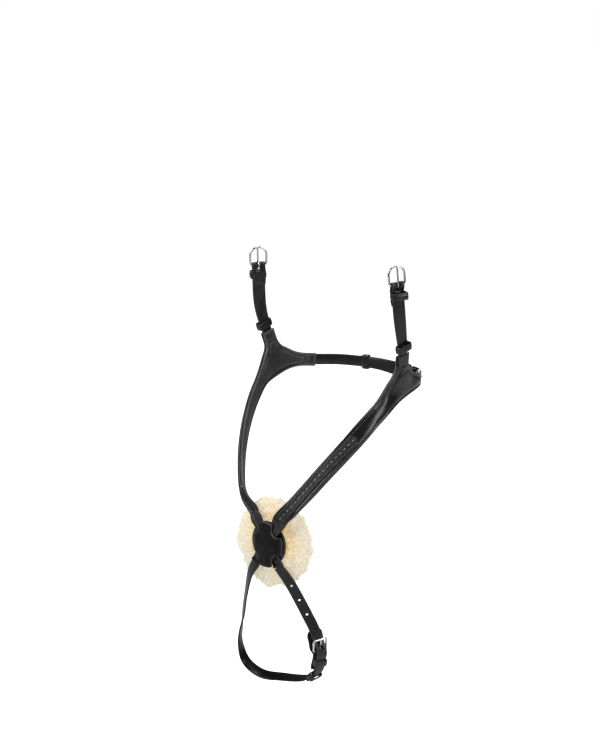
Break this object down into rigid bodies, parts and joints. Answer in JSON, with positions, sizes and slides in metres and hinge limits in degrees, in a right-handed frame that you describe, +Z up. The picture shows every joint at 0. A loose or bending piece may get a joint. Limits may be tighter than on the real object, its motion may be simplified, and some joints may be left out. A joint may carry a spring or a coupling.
{
  "type": "figure eight noseband",
  "caption": "Figure eight bridle noseband of black padded leather with steel buckles and a round sheepskin pad at its crossing.",
  "frame": {"origin": "midway between the pivot bars of the two head buckles, from which the noseband hangs", "axes": "+Z up, the horse's nose along -Y, its near (left) side along +X"},
  "size_m": [0.2263, 0.2413, 0.5131],
  "materials": {
    "black_leather": "semi-gloss",
    "soft_leather": "matte",
    "foam": "matte",
    "steel": "polished",
    "wool": "matte",
    "hide": "matte"
  },
  "bodies": {
    "noseband": {"near_cheek_leather": "black_leather", "near_cheek_padding": "foam", "near_cheek_lining": "soft_leather", "near_nose_band": "black_leather", "near_head_strap": "black_leather", "near_head_keeper": "black_leather", "off_cheek_leather": "black_leather", "off_cheek_padding": "foam", "off_cheek_lining": "soft_leather", "off_nose_band": "black_leather", "off_head_strap": "black_leather", "off_head_keeper": "black_leather", "jaw_strap": "black_leather", "jaw_billet": "black_leather", "jaw_guard": "soft_leather", "jaw_keeper": "black_leather", "crossing_base": "black_leather", "crossing_cover": "black_leather", "sheepskin_backing": "hide", "wool_pile": "wool"},
    "near_head_frame": {"near_head_buckle_frame": "steel"},
    "near_head_tongue": {"near_head_buckle_tongue": "steel"},
    "near_head_runner": {"near_head_runner": "black_leather"},
    "off_head_frame": {"off_head_buckle_frame": "steel"},
    "off_head_tongue": {"off_head_buckle_tongue": "steel"},
    "off_head_runner": {"off_head_runner": "black_leather"},
    "jaw_frame": {"jaw_buckle_frame": "steel"},
    "jaw_tongue": {"jaw_buckle_tongue": "steel"},
    "jaw_runner": {"jaw_runner": "black_leather"},
    "chin_loop": {"chin_strap": "black_leather", "chin_billet": "black_leather", "chin_guard": "soft_leather", "chin_keeper": "black_leather"},
    "chin_frame": {"chin_buckle_frame": "steel"},
    "chin_tongue": {"chin_buckle_tongue": "steel"},
    "chin_runner": {"chin_runner": "black_leather"}
  },
  "joints": [
    {"name": "near_head_frame_swing", "type": "hinge", "parent": "noseband", "child": "near_head_frame", "pos_m": [0.1, 0, 0], "axis": [0.4979, 0.8623, 0.0926], "range_deg": [-80, 50]},
    {"name": "near_head_tongue_swing", "type": "hinge", "parent": "near_head_frame", "child": "near_head_tongue", "pos_m": [0.1, 0, 0], "axis": [0.4979, 0.8623, 0.0926], "range_deg": [0, 60]},
    {"name": "near_head_runner_slide", "type": "slide", "parent": "noseband", "child": "near_head_runner", "axis": [0.1046, -0.2953, 0.9497], "range_m": [-0.0035, 0.007]},
    {"name": "off_head_frame_swing", "type": "hinge", "parent": "noseband", "child": "off_head_frame", "pos_m": [-0.1, 0, 0], "axis": [-0.6153, -0.7875, -0.0362], "range_deg": [-80, 50]},
    {"name": "off_head_tongue_swing", "type": "hinge", "parent": "off_head_frame", "child": "off_head_tongue", "pos_m": [-0.1, 0, 0], "axis": [-0.6153, -0.7875, -0.0362], "range_deg": [0, 60]},
    {"name": "off_head_runner_slide", "type": "slide", "parent": "noseband", "child": "off_head_runner", "axis": [-0.1046, -0.2953, 0.9497], "range_m": [-0.0035, 0.0035]},
    {"name": "jaw_frame_swing", "type": "hinge", "parent": "noseband", "child": "jaw_frame", "pos_m": [0.06089, 0.1, -0.13312], "axis": [0.0065, -0.0047, 1], "range_deg": [0, 4]},
    {"name": "jaw_tongue_swing", "type": "hinge", "parent": "jaw_frame", "child": "jaw_tongue", "pos_m": [0.06089, 0.1, -0.13312], "axis": [0.0065, -0.0047, 1], "range_deg": [0, 5]},
    {"name": "jaw_runner_slide", "type": "slide", "parent": "noseband", "child": "jaw_runner", "axis": [0.991, 0.1336, 0.0005], "range_m": [-0.008, 0]},
    {"name": "chin_loop_swing", "type": "hinge", "parent": "noseband", "child": "chin_loop", "pos_m": [0, -0.116, -0.327], "axis": [1, 0, 0], "range_deg": [-20, 3], "stiffness_Nm_per_rad": 1},
    {"name": "chin_frame_swing", "type": "hinge", "parent": "chin_loop", "child": "chin_frame", "pos_m": [0.05841, -0.092, -0.43068], "axis": [0.4086, 0.9069, 0.1029], "range_deg": [0, 5]},
    {"name": "chin_tongue_swing", "type": "hinge", "parent": "chin_frame", "child": "chin_tongue", "pos_m": [0.05841, -0.092, -0.43068], "axis": [0.4086, 0.9069, 0.1029], "range_deg": [0, 5]},
    {"name": "chin_runner_slide", "type": "slide", "parent": "chin_loop", "child": "chin_runner", "axis": [0.7218, -0.0336, 0.6913], "range_m": [-0.0025, 0.002]}
  ]
}
